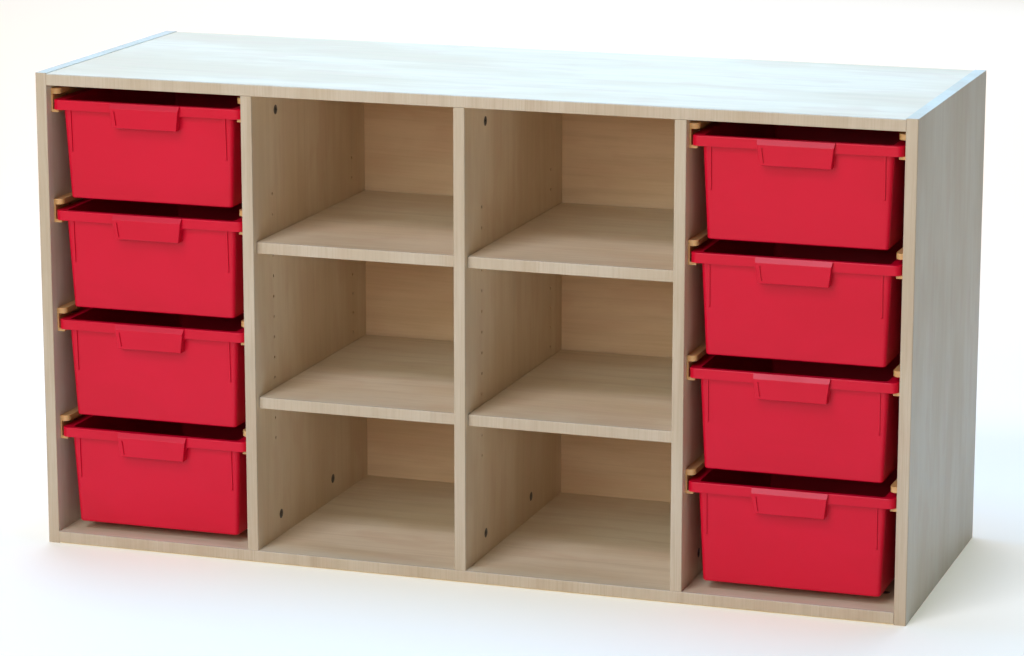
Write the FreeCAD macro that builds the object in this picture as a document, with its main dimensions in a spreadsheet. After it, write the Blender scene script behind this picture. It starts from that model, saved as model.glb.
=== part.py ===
import FreeCAD, Part
import Sketcher
import math
import os

# Classroom tray storage unit: a laminated chipboard cabinet with four equal bays.
# The outer bays hold four deep trays each, sliding on moulded C-section runners.
# The two middle bays hold two shelves each.
# Frame: origin at the middle of the footprint on the floor, +Z up, front towards -Y,
# left side panel at -X.  Millimetres.

V = FreeCAD.Vector
doc = FreeCAD.newDocument("tray_unit")

# ---------------------------------------------------------------- dimensions
CELLS = [
    # carcass
    ("overall_wide", 1370.0, "outside width over the side panels"),
    ("overall_deep", 490.0, "outside depth"),
    ("overall_high", 744.0, "height of the side panels"),
    ("board", 18.0, "laminated chipboard thickness"),
    ("proud", 1.0, "side panel ends beyond the top and bottom panels"),
    ("bay_wide", 320.0, "clear width of one bay"),
    ("edging", 2.0, "plastic edging thickness"),
    ("edging_round", 1.6, "corner radius of the edging"),
    ("back_board", 8.0, "back panel thickness"),
    ("back_front", 470.2, "front face of the back panel, from the cabinet front"),
    ("groove_front", 470.0, "front wall of the back panel groove"),
    ("groove_wide", 8.4, "back panel groove width"),
    ("groove_deep", 8.0, "back panel groove depth"),
    ("back_in_groove", 7.5, "back panel edge inside its groove"),
    ("divider_rear", 470.0, "rear edge of a divider, from the cabinet front"),
    # shelves
    ("shelf_wide", 318.4, "shelf length"),
    ("shelf_set", 12.0, "shelf front set back from the cabinet front"),
    ("shelf_rear", 466.0, "shelf rear edge, from the cabinet front"),
    ("shelf_low", 241.5, "underside of the lower shelf above the floor"),
    ("shelf_high", 483.0, "underside of the upper shelf above the floor"),
    ("peg_hole", 5.0, "shelf pin hole diameter"),
    ("peg_hole_deep", 8.0, "shelf pin hole depth"),
    ("peg_pitch", 32.0, "shelf pin hole pitch"),
    ("peg_mid", 372.0, "middle shelf pin hole above the floor"),
    ("peg_front", 77.0, "front row of shelf pin holes, from the cabinet front"),
    ("peg_rear", 412.0, "rear row of shelf pin holes, from the cabinet front"),
    ("peg_body", 4.8, "shelf pin diameter inside its hole"),
    ("peg_in", 7.5, "shelf pin length inside its hole"),
    ("peg_head", 6.0, "shelf pin diameter under the shelf"),
    ("peg_out", 9.0, "shelf pin length under the shelf"),
    # cam joints
    ("cam_front", 95.0, "front cam joint, from the cabinet front"),
    ("cam_rear", 315.0, "rear cam joint, from the cabinet front"),
    ("cam_in", 34.0, "cam centre from the joint face"),
    ("cam_bore", 15.0, "cam pocket diameter"),
    ("cam_bore_deep", 13.5, "cam pocket depth"),
    ("cam_body", 14.6, "cam diameter"),
    ("cam_high", 12.4, "cam height"),
    ("cam_cavity", 8.0, "diameter of the bolt cavity in the cam"),
    ("bolt_bore", 8.0, "bolt bore diameter in the panel edge"),
    ("bolt_shank", 6.0, "cam bolt shank diameter"),
    ("bolt_head", 7.0, "cam bolt head diameter"),
    ("bolt_thread", 5.0, "cam bolt thread diameter"),
    ("bolt_pilot", 5.2, "pilot hole for the cam bolt thread"),
    ("bolt_pilot_deep", 11.5, "pilot hole depth"),
    ("bolt_thread_long", 11.0, "thread length"),
    ("bolt_reach", 32.5, "bolt length beyond the joint face"),
    ("bolt_head_long", 2.6, "bolt head length"),
    ("dowel_front", 127.0, "front dowel, from the cabinet front"),
    ("dowel_rear", 347.0, "rear dowel, from the cabinet front"),
    ("dowel", 7.8, "dowel diameter"),
    ("dowel_bore", 8.0, "dowel bore diameter"),
    ("dowel_face_deep", 11.5, "dowel bore depth in a panel face"),
    ("dowel_end_deep", 24.5, "dowel bore depth in a panel edge"),
    ("dowel_face_in", 11.0, "dowel length in the panel face"),
    ("dowel_end_in", 24.0, "dowel length in the panel edge"),
    # trays
    ("tray_wide", 312.0, "tray width over the lip"),
    ("tray_long", 427.0, "tray length over the lip"),
    ("tray_high", 153.3, "tray height"),
    ("tray_front", 9.5, "front of the tray lip, from the cabinet front"),
    ("tray_top", 701.9, "lip top of the uppermost tray above the floor"),
    ("tray_pitch", 172.0, "height from tray to tray"),
    ("lip_high", 15.1, "skirt height of the lip"),
    ("lip_wall", 2.0, "thickness of the lip"),
    ("lip_corner", 11.0, "corner radius of the lip"),
    ("body_side", 14.6, "lip overhang at the sides"),
    ("body_end", 6.0, "lip overhang at the front and rear"),
    ("body_corner", 8.0, "corner radius of the tray body at the top"),
    ("body_corner_low", 7.0, "corner radius of the tray body at the bottom"),
    ("draft_in", 7.0, "how far each wall leans in from top to bottom"),
    ("tray_wall", 2.2, "tray wall thickness"),
    ("tray_floor", 2.4, "tray floor thickness"),
    ("tray_foot", 3.0, "radius along the bottom edge"),
    ("handle_wide", 114.5, "handle width at the top"),
    ("handle_wide_low", 106.0, "handle width at the bottom"),
    ("handle_high", 37.5, "handle height below the lip top"),
    ("handle_out", 7.0, "handle front beyond the lip front"),
    ("handle_band", 7.4, "height of the sloped band along the handle top"),
    ("handle_ledge", 2.4, "flat top of the handle in front of the lip"),
    ("handle_plate", 3.2, "handle plate thickness"),
    ("handle_round", 5.0, "fillet between the lip and the handle side"),
    ("gap_half", 50.0, "half width of the finger gap"),
    ("slot_at", 49.8, "top of the label slot, from the tray middle"),
    ("slot_lean", 3.3, "sideways lean of the label slot"),
    ("slot_top", 11.8, "label slot top below the lip top"),
    ("slot_low", 33.5, "label slot bottom below the lip top"),
    ("slot_wide", 2.8, "label slot width"),
    ("slot_deep", 2.0, "label slot depth"),
    ("rib_at", 128.0, "stacking rib from the tray middle"),
    ("rib_wide", 2.4, "stacking rib width"),
    ("rib_out", 2.0, "stacking rib height"),
    ("rib_low", 81.0, "stacking rib end below the lip top"),
    ("rib_end", 2.0, "length of the rib's sloped end"),
    # runners
    ("runner_front", 16.0, "front end of a runner, from the cabinet front"),
    ("runner_long", 430.0, "runner length"),
    ("runner_high", 36.5, "runner height"),
    ("runner_web", 2.5, "runner web thickness"),
    ("runner_low", 12.0, "lower flange width"),
    ("runner_low_thick", 4.5, "lower flange thickness"),
    ("runner_up", 14.0, "upper flange width"),
    ("runner_up_thick", 3.0, "upper flange thickness"),
    ("runner_hook", 8.5, "height of the upper flange hook and front stop"),
    ("runner_hook_wall", 2.5, "thickness of the upper flange hook"),
    ("runner_stop", 12.0, "length of the solid front end of the upper flange"),
    ("runner_rear", 3.0, "thickness of the rear stop"),
    ("runner_round", 9.0, "corner radius of the front stop"),
    ("runner_drop", 19.8, "runner underside below the tray lip top"),
    ("screw_front", 48.0, "front runner screw behind the runner's front end"),
    ("screw_rear", 368.0, "rear runner screw behind the runner's front end"),
    ("screw_up", 17.5, "runner screw above the runner underside"),
    ("screw_hole", 4.6, "screw hole in the runner web"),
    ("screw_shank", 4.0, "screw shank diameter"),
    ("screw_pilot", 4.2, "screw hole in the panel"),
    ("screw_pilot_deep", 13.5, "screw hole depth in the panel"),
    ("screw_long", 13.0, "screw length in the panel"),
    ("screw_head", 7.6, "screw head diameter"),
    ("screw_head_high", 1.2, "screw head height"),
]
sheet = doc.addObject("Spreadsheet::Sheet", "dims")
VALUE = {}
for row, (alias, value, note) in enumerate(CELLS, start=1):
    sheet.set("A%d" % row, note)
    sheet.set("B%d" % row, "%g" % value)
    sheet.setAlias("B%d" % row, alias)
    VALUE[alias] = value
doc.recompute()


class Q(object):
    """A size: its present value and the sheet expression that gives it."""

    def __init__(self, value, text):
        self.v = float(value)
        self.e = text

    def __add__(self, other):
        o = q(other)
        return Q(self.v + o.v, "(%s + %s)" % (self.e, o.e))

    def __radd__(self, other):
        return q(other) + self

    def __sub__(self, other):
        o = q(other)
        return Q(self.v - o.v, "(%s - %s)" % (self.e, o.e))

    def __rsub__(self, other):
        return q(other) - self

    def __mul__(self, other):
        o = q(other)
        return Q(self.v * o.v, "(%s * %s)" % (self.e, o.e))

    def __rmul__(self, other):
        return q(other) * self

    def __truediv__(self, other):
        o = q(other)
        return Q(self.v / o.v, "(%s / %s)" % (self.e, o.e))

    def __neg__(self):
        return Q(-self.v, "(0 - %s)" % self.e)


def q(value):
    return value if isinstance(value, Q) else Q(value, "%g" % value)


def dim(alias):
    return Q(VALUE[alias], "dims." + alias)


board = dim("board")
half_w = dim("overall_wide") / 2
half_d = dim("overall_deep") / 2
inner_wide = dim("overall_wide") - 2 * board
inner_high = dim("overall_high") - 2 * board - 2 * dim("proud")
floor_top = dim("proud") + board
bay_left = [(-half_w) + board + k * (dim("bay_wide") + board) for k in range(4)]
bay_mid = [x + dim("bay_wide") / 2 for x in bay_left]
tray_tops = [dim("tray_top") - k * dim("tray_pitch") for k in range(4)]
runner_z = [z - dim("runner_drop") for z in tray_tops]
FRONT = -half_d


# ---------------------------------------------------------------- helpers
def bind(obj, prop, size):
    obj.setExpression(prop, size.e)


def place(obj, x, y, z):
    obj.Placement = FreeCAD.Placement(V(q(x).v, q(y).v, q(z).v), FreeCAD.Rotation())
    for key, size in (("x", x), ("y", y), ("z", z)):
        bind(obj, ".Placement.Base." + key, q(size))


def new_body(name):
    body = doc.addObject("PartDesign::Body", name)
    body.Label = name
    return body


def origin_plane(body, role):
    for feature in body.Origin.OriginFeatures:
        if feature.Role == role:
            return feature
    raise RuntimeError("no plane " + role)


def new_sketch(body, name, role, offset=None):
    s = body.newObject("Sketcher::SketchObject", name)
    s.AttachmentSupport = [(origin_plane(body, role), "")]
    s.MapMode = "FlatFace"
    if offset is not None:
        s.AttachmentOffset = FreeCAD.Placement(V(0, 0, offset.v), FreeCAD.Rotation())
        bind(s, ".AttachmentOffset.Base.z", offset)
    return s


def fix_x(s, geo, pos, size):
    size = q(size)
    if abs(size.v) < 1e-9:
        s.addConstraint(Sketcher.Constraint("PointOnObject", geo, pos, -2))
    elif size.v > 0:
        i = s.addConstraint(Sketcher.Constraint("DistanceX", -1, 1, geo, pos, size.v))
        bind(s, "Constraints[%d]" % i, size)
    else:
        i = s.addConstraint(Sketcher.Constraint("DistanceX", geo, pos, -1, 1, -size.v))
        bind(s, "Constraints[%d]" % i, -size)


def fix_y(s, geo, pos, size):
    size = q(size)
    if abs(size.v) < 1e-9:
        s.addConstraint(Sketcher.Constraint("PointOnObject", geo, pos, -1))
    elif size.v > 0:
        i = s.addConstraint(Sketcher.Constraint("DistanceY", -1, 1, geo, pos, size.v))
        bind(s, "Constraints[%d]" % i, size)
    else:
        i = s.addConstraint(Sketcher.Constraint("DistanceY", geo, pos, -1, 1, -size.v))
        bind(s, "Constraints[%d]" % i, -size)


def add_rect(s, x0, y0, x1, y1):
    """A rectangle from (x0, y0) to (x1, y1) in the sketch."""
    x0, y0, x1, y1 = q(x0), q(y0), q(x1), q(y1)
    p = [V(x0.v, y0.v, 0), V(x1.v, y0.v, 0), V(x1.v, y1.v, 0), V(x0.v, y1.v, 0)]
    g = [s.addGeometry(Part.LineSegment(p[i], p[(i + 1) % 4]), False) for i in range(4)]
    for i in range(4):
        s.addConstraint(Sketcher.Constraint("Coincident", g[i], 2, g[(i + 1) % 4], 1))
    s.addConstraint(Sketcher.Constraint("Horizontal", g[0]))
    s.addConstraint(Sketcher.Constraint("Vertical", g[1]))
    s.addConstraint(Sketcher.Constraint("Horizontal", g[2]))
    s.addConstraint(Sketcher.Constraint("Vertical", g[3]))
    fix_x(s, g[0], 1, x0)
    fix_y(s, g[0], 1, y0)
    fix_x(s, g[1], 2, x1)
    fix_y(s, g[1], 2, y1)


def add_polygon(s, points):
    """A closed polygon through the given (x, y) sizes."""
    pts = [(q(x), q(y)) for x, y in points]
    n = len(pts)
    vec = [V(x.v, y.v, 0) for x, y in pts]
    g = [s.addGeometry(Part.LineSegment(vec[i], vec[(i + 1) % n]), False) for i in range(n)]
    for i in range(n):
        s.addConstraint(Sketcher.Constraint("Coincident", g[i], 2, g[(i + 1) % n], 1))
    for i in range(n):
        fix_x(s, g[i], 1, pts[i][0])
        fix_y(s, g[i], 1, pts[i][1])


def add_circles(s, centres, diameter):
    """Equal circles at the given (x, y) sizes."""
    first = None
    for x, y in centres:
        x, y = q(x), q(y)
        g = s.addGeometry(Part.Circle(V(x.v, y.v, 0), V(0, 0, 1), diameter.v / 2), False)
        fix_x(s, g, 3, x)
        fix_y(s, g, 3, y)
        if first is None:
            first = g
            i = s.addConstraint(Sketcher.Constraint("Diameter", g, diameter.v))
            bind(s, "Constraints[%d]" % i, diameter)
        else:
            s.addConstraint(Sketcher.Constraint("Equal", first, g))


def add_round_rect(s, half, y0, y1, radius):
    """A rounded rectangle, symmetric about the vertical axis, from y0 to y1."""
    half, y0, y1, radius = q(half), q(y0), q(y1), q(radius)
    h, a, b, r = half.v, y0.v, y1.v, radius.v
    lines = [
        Part.LineSegment(V(-h + r, a, 0), V(h - r, a, 0)),
        Part.LineSegment(V(h, a + r, 0), V(h, b - r, 0)),
        Part.LineSegment(V(h - r, b, 0), V(-h + r, b, 0)),
        Part.LineSegment(V(-h, b - r, 0), V(-h, a + r, 0)),
    ]
    centres = [(h - r, a + r, -90), (h - r, b - r, 0), (-h + r, b - r, 90), (-h + r, a + r, 180)]
    gl = [s.addGeometry(line, False) for line in lines]
    ga = []
    for cx, cy, start in centres:
        circle = Part.Circle(V(cx, cy, 0), V(0, 0, 1), r)
        t0 = math.radians(start)
        ga.append(s.addGeometry(Part.ArcOfCircle(circle, t0, t0 + math.pi / 2), False))
    for i in range(4):
        s.addConstraint(Sketcher.Constraint("Tangent", gl[i], 2, ga[i], 1))
        s.addConstraint(Sketcher.Constraint("Tangent", ga[i], 2, gl[(i + 1) % 4], 1))
    s.addConstraint(Sketcher.Constraint("Horizontal", gl[0]))
    s.addConstraint(Sketcher.Constraint("Vertical", gl[1]))
    s.addConstraint(Sketcher.Constraint("Horizontal", gl[2]))
    s.addConstraint(Sketcher.Constraint("Vertical", gl[3]))
    for i in range(1, 4):
        s.addConstraint(Sketcher.Constraint("Equal", ga[0], ga[i]))
    i = s.addConstraint(Sketcher.Constraint("Radius", ga[0], r))
    bind(s, "Constraints[%d]" % i, radius)
    fix_y(s, gl[0], 1, y0)
    fix_x(s, gl[1], 1, half)
    fix_y(s, gl[2], 1, y1)
    fix_x(s, gl[3], 1, -half)


def pad(body, name, sketch, length, reverse=False, both=False):
    p = body.newObject("PartDesign::Pad", name)
    p.Profile = sketch
    p.Length = q(length).v
    bind(p, "Length", q(length))
    if both:
        p.SideType = "Symmetric"
    p.Reversed = reverse
    sketch.Visibility = False
    return p


def pocket(body, name, sketch, depth, reverse=False, both=False):
    p = body.newObject("PartDesign::Pocket", name)
    p.Profile = sketch
    p.Length = q(depth).v
    bind(p, "Length", q(depth))
    if both:
        p.SideType = "Symmetric"
    p.Reversed = reverse
    sketch.Visibility = False
    return p


def edge_names(feature, test):
    """Names of the straight edges whose end points pass the test."""
    names = []
    for i, edge in enumerate(feature.Shape.Edges, start=1):
        if len(edge.Vertexes) == 2 and test(edge.Vertexes[0].Point, edge.Vertexes[1].Point, edge):
            names.append("Edge%d" % i)
    return names


def fillet(body, name, base, names, radius):
    f = body.newObject("PartDesign::Fillet", name)
    f.Base = (base, names)
    f.Radius = q(radius).v
    bind(f, "Radius", q(radius))
    return f


def near(a, b, tol=0.02):
    return abs(a - b) < tol


def cut_check(body, before, what):
    doc.recompute()
    if body.Shape.Volume >= before - 1e-3:
        raise RuntimeError("%s: %s removed nothing" % (body.Name, what))
    return body.Shape.Volume


def drill(body, name, role, offset, centres, diameter, depth, reverse):
    """Blind round holes from a plane parallel to an origin plane."""
    doc.recompute()
    before = body.Shape.Volume
    s = new_sketch(body, name + "_sketch", role, offset)
    add_circles(s, centres, diameter)
    pocket(body, name, s, depth, reverse=reverse)
    after = cut_check(body, before, name)
    want = len(centres) * math.pi * (diameter.v / 2) ** 2 * q(depth).v
    if abs((before - after) - want) > 0.02 * want + 1.0:
        print("note: %s %s removed %.0f of %.0f" % (body.Name, name, before - after, want))


def groove(body, name, role, offset, x0, y0, x1, y1, depth, reverse):
    doc.recompute()
    before = body.Shape.Volume
    s = new_sketch(body, name + "_sketch", role, offset)
    add_rect(s, x0, y0, x1, y1)
    pocket(body, name, s, depth, reverse=reverse)
    cut_check(body, before, name)


# Sketch directions on the origin planes:
#   XY_Plane: sketch x = X, sketch y = Y, normal +Z
#   XZ_Plane: sketch x = X, sketch y = Z, normal -Y
#   YZ_Plane: sketch x = Y, sketch y = Z, normal +X
# A Pad goes along the normal and a Pocket against it, unless reversed.

NODES = []
cam_y = [dim("cam_front"), dim("cam_rear")]
dowel_y = [dim("dowel_front"), dim("dowel_rear")]
edging = dim("edging")
groove_y0 = dim("groove_front")
groove_y1 = dim("groove_front") + dim("groove_wide")


# ---------------------------------------------------------------- side panels
def side_panel(name, left):
    """Upright side panel; its local origin is the outer face (left panel) or the inner face
    (right panel), at the cabinet front and the floor."""
    body = new_body(name)
    s = new_sketch(body, name + "_outline", "XY_Plane")
    add_rect(s, 0, edging, board, dim("overall_deep"))
    pad(body, name + "_board", s, dim("overall_high"))
    doc.recompute()
    inner = board if left else q(0)
    inward = left            # the inner face of the left panel looks along +X
    low = dim("proud") + board / 2
    high = dim("overall_high") - dim("proud") - board / 2
    groove(body, "back_groove", "YZ_Plane", inner, groove_y0, floor_top - dim("groove_deep"),
           groove_y1, floor_top + inner_high + dim("groove_deep"), dim("groove_deep"), not inward)
    drill(body, "bolt_pilots", "YZ_Plane", inner, [(y, z) for y in cam_y for z in (low, high)],
          dim("bolt_pilot"), dim("bolt_pilot_deep"), not inward)
    drill(body, "dowel_bores", "YZ_Plane", inner, [(y, z) for y in dowel_y for z in (low, high)],
          dim("dowel_bore"), dim("dowel_face_deep"), not inward)
    screws = [(dim("runner_front") + dim(a), z + dim("screw_up"))
              for z in runner_z for a in ("screw_front", "screw_rear")]
    drill(body, "runner_screw_holes", "YZ_Plane", inner, screws, dim("screw_pilot"),
          dim("screw_pilot_deep"), not inward)
    place(body, -half_w if left else half_w - board, FRONT, 0)
    NODES.append(body)
    return body


side_panel("side_panel_left", True)
side_panel("side_panel_right", False)


# ---------------------------------------------------------------- top and bottom panels
def level_panel(name, top):
    """Level panel between the sides; local origin at its left end, the cabinet front and its
    underside."""
    body = new_body(name)
    s = new_sketch(body, name + "_outline", "XY_Plane")
    add_rect(s, 0, edging, inner_wide, dim("overall_deep"))
    pad(body, name + "_board", s, board)
    doc.recompute()
    inner = q(0) if top else board       # face towards the compartments
    up = top                             # pockets in the underside run upwards
    groove(body, "back_groove", "XY_Plane", inner, 0 - q(1), groove_y0, inner_wide + 1, groove_y1,
           dim("groove_deep"), up)
    dividers = [k * (dim("bay_wide") + board) - board / 2 for k in (1, 2, 3)]
    drill(body, "bolt_pilots", "XY_Plane", inner, [(x, y) for x in dividers for y in cam_y],
          dim("bolt_pilot"), dim("bolt_pilot_deep"), up)
    drill(body, "dowel_bores", "XY_Plane", inner, [(x, y) for x in dividers for y in dowel_y],
          dim("dowel_bore"), dim("dowel_face_deep"), up)
    ends = (dim("cam_in"), inner_wide - dim("cam_in"))
    drill(body, "cam_pockets", "XY_Plane", inner, [(x, y) for x in ends for y in cam_y],
          dim("cam_bore"), dim("cam_bore_deep"), up)
    for side, offset, reverse in (("left", q(0), True), ("right", inner_wide, False)):
        drill(body, "bolt_bores_" + side, "YZ_Plane", offset, [(y, board / 2) for y in cam_y],
              dim("bolt_bore"), dim("cam_in"), reverse)
        drill(body, "dowel_ends_" + side, "YZ_Plane", offset, [(y, board / 2) for y in dowel_y],
              dim("dowel_bore"), dim("dowel_end_deep"), reverse)
    place(body, -half_w + board, FRONT,
          dim("overall_high") - dim("proud") - board if top else dim("proud"))
    NODES.append(body)
    return body


level_panel("top_panel", True)
level_panel("bottom_panel", False)

# ---------------------------------------------------------------- dividers
PEG_STEPS = [-6, -5, -3, -2, -1, 0, 1, 2, 3, 5, 6]
peg_z = [dim("peg_mid") + k * dim("peg_pitch") for k in PEG_STEPS]
shelf_peg_z = [dim("shelf_low") - dim("peg_head") / 2, dim("shelf_high") - dim("peg_head") / 2]


def divider(name, number, pegs_left, pegs_right, screws_left, screws_right):
    """Upright divider between the top and the bottom panel; local origin at its left face, the
    cabinet front and its lower end."""
    body = new_body(name)
    s = new_sketch(body, name + "_outline", "XY_Plane")
    add_rect(s, 0, edging, board, dim("divider_rear"))
    pad(body, name + "_board", s, inner_high)
    doc.recompute()
    mid = board / 2
    drill(body, "bolt_bores_low", "XY_Plane", q(0), [(mid, y) for y in cam_y], dim("bolt_bore"),
          dim("cam_in"), True)
    drill(body, "bolt_bores_high", "XY_Plane", inner_high, [(mid, y) for y in cam_y],
          dim("bolt_bore"), dim("cam_in"), False)
    drill(body, "dowel_ends_low", "XY_Plane", q(0), [(mid, y) for y in dowel_y],
          dim("dowel_bore"), dim("dowel_end_deep"), True)
    drill(body, "dowel_ends_high", "XY_Plane", inner_high, [(mid, y) for y in dowel_y],
          dim("dowel_bore"), dim("dowel_end_deep"), False)
    heights = (dim("cam_in"), inner_high - dim("cam_in"))
    drill(body, "cam_pockets", "YZ_Plane", board, [(y, z) for y in cam_y for z in heights],
          dim("cam_bore"), dim("cam_bore_deep"), False)
    holes = [(y, z - floor_top) for y in (dim("peg_front"), dim("peg_rear"))
             for z in peg_z + shelf_peg_z]
    screws = [(dim("runner_front") + dim(a), z + dim("screw_up") - floor_top)
              for z in runner_z for a in ("screw_front", "screw_rear")]
    for wanted, offset, reverse in ((pegs_left, q(0), True), (pegs_right, board, False)):
        if wanted:
            drill(body, "peg_holes", "YZ_Plane", offset, holes, dim("peg_hole"),
                  dim("peg_hole_deep"), reverse)
    for wanted, offset, reverse in ((screws_left, q(0), True), (screws_right, board, False)):
        if wanted:
            drill(body, "runner_screw_holes", "YZ_Plane", offset, screws, dim("screw_pilot"),
                  dim("screw_pilot_deep"), reverse)
    place(body, bay_left[number] - board, FRONT, floor_top)
    NODES.append(body)
    return body


divider("divider_left", 1, False, True, True, False)
divider("divider_middle", 2, True, True, False, False)
divider("divider_right", 3, True, False, False, True)

# ---------------------------------------------------------------- back panel
back = new_body("back_panel")
s = new_sketch(back, "back_outline", "XZ_Plane")
add_rect(s, 0, 0, inner_wide + 2 * dim("back_in_groove"), inner_high + 2 * dim("back_in_groove"))
pad(back, "back_board_pad", s, dim("back_board"), reverse=True)
place(back, -half_w + board - dim("back_in_groove"), FRONT + dim("back_front"),
      floor_top - dim("back_in_groove"))
NODES.append(back)


# ---------------------------------------------------------------- shelves
def shelf(name, bay, z):
    body = new_body(name)
    s = new_sketch(body, name + "_outline", "XY_Plane")
    add_rect(s, 0, edging, dim("shelf_wide"), dim("shelf_rear") - dim("shelf_set"))
    pad(body, name + "_board", s, board)
    place(body, bay_mid[bay] - dim("shelf_wide") / 2, FRONT + dim("shelf_set"), z)
    NODES.append(body)


for bay, tag in ((1, "left"), (2, "right")):
    shelf("shelf_%s_lower" % tag, bay, dim("shelf_low"))
    shelf("shelf_%s_upper" % tag, bay, dim("shelf_high"))


# ---------------------------------------------------------------- front edging strips
def strip_upright(name, x, z, length):
    body = new_body(name)
    s = new_sketch(body, name + "_section", "XY_Plane")
    add_rect(s, 0, 0, board, edging)
    p = pad(body, name + "_strip", s, length)
    doc.recompute()
    names = edge_names(p, lambda a, b, e: near(a.y, 0) and near(b.y, 0) and near(a.x, b.x))
    fillet(body, name + "_round", p, names, dim("edging_round"))
    place(body, x, FRONT, z)
    NODES.append(body)


def strip_level(name, x, y, z, length):
    body = new_body(name)
    s = new_sketch(body, name + "_section", "YZ_Plane")
    add_rect(s, 0, 0, edging, board)
    p = pad(body, name + "_strip", s, length)
    doc.recompute()
    names = edge_names(p, lambda a, b, e: near(a.y, 0) and near(b.y, 0) and near(a.z, b.z))
    fillet(body, name + "_round", p, names, dim("edging_round"))
    place(body, x, y, z)
    NODES.append(body)


strip_upright("edging_side_left", -half_w, 0, dim("overall_high"))
strip_upright("edging_side_right", half_w - board, 0, dim("overall_high"))
for k, tag in ((1, "left"), (2, "middle"), (3, "right")):
    strip_upright("edging_divider_" + tag, bay_left[k] - board, floor_top, inner_high)
strip_level("edging_top_panel", -half_w + board, FRONT,
            dim("overall_high") - dim("proud") - board, inner_wide)
strip_level("edging_bottom_panel", -half_w + board, FRONT, dim("proud"), inner_wide)
for bay, tag in ((1, "left"), (2, "right")):
    for z, level in ((dim("shelf_low"), "lower"), (dim("shelf_high"), "upper")):
        strip_level("edging_shelf_%s_%s" % (tag, level), bay_mid[bay] - dim("shelf_wide") / 2,
                    FRONT + dim("shelf_set"), z, dim("shelf_wide"))


# ---------------------------------------------------------------- runners
def runner(name, bay, z, left):
    """Moulded runner of C section.  Local origin on the panel face, at the runner's front end and
    underside.  A left runner opens towards +X, a right one towards -X."""
    sign = 1 if left else -1
    body = new_body(name)

    def x(size):
        return q(size) if left else -q(size)

    def box_sketch(tag, x0, z0, x1, z1):
        sk = new_sketch(body, name + "_" + tag, "XZ_Plane")
        a, b = (x(x0), x(x1)) if left else (x(x1), x(x0))
        add_rect(sk, a, z0, b, z1)
        return sk

    high = dim("runner_high")
    web, low, lowt = dim("runner_web"), dim("runner_low"), dim("runner_low_thick")
    up, upt = dim("runner_up"), dim("runner_up_thick")
    hook, hookw = dim("runner_hook"), dim("runner_hook_wall")
    section = new_sketch(body, name + "_section", "XZ_Plane")
    points = [(0, 0), (low, 0), (low, lowt), (web, lowt), (web, high - upt), (up - hookw, high - upt),
              (up - hookw, high - hook), (up, high - hook), (up, high), (0, high)]
    add_polygon(section, [(x(a), b) for a, b in points])
    pad(body, name + "_bar", section, dim("runner_long"), reverse=True)
    stop = box_sketch("stop", web, high - hook, up - hookw + 0.5, high - upt + 0.5)
    pad(body, name + "_front_stop", stop, dim("runner_stop"), reverse=True)
    doc.recompute()
    rear = new_sketch(body, name + "_rear", "XZ_Plane", -(dim("runner_long") - dim("runner_rear")))
    a, b = (x(web - 0.5), x(low)) if left else (x(low), x(web - 0.5))
    add_rect(rear, a, lowt - 0.5, b, high - upt + 0.5)
    last = pad(body, name + "_rear_stop", rear, dim("runner_rear"), reverse=True)
    doc.recompute()
    # rounded inner front corner of the upper flange
    names = edge_names(last, lambda a, b, e: near(a.y, 0) and near(b.y, 0)
                       and near(a.x, sign * VALUE["runner_up"]) and near(b.x, sign * VALUE["runner_up"]))
    last = fillet(body, name + "_corner", last, names, dim("runner_round"))
    doc.recompute()
    before = body.Shape.Volume
    hole = new_sketch(body, name + "_holes", "YZ_Plane", x(web))
    add_circles(hole, [(dim("screw_front"), dim("screw_up")), (dim("screw_rear"), dim("screw_up"))],
                dim("screw_hole"))
    pocket(body, name + "_screw_holes", hole, web, reverse=not left)
    cut_check(body, before, "screw holes")
    place(body, bay_left[bay] if left else bay_left[bay] + dim("bay_wide"),
          FRONT + dim("runner_front"), z)
    NODES.append(body)


RUNNERS = []
for bay, tag in ((0, "left_bay"), (3, "right_bay")):
    for row in range(4):
        for left in (True, False):
            name = "runner_%s_row%d_%s" % (tag, row + 1, "l" if left else "r")
            runner(name, bay, runner_z[row], left)
            RUNNERS.append((bay, row, left))


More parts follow.
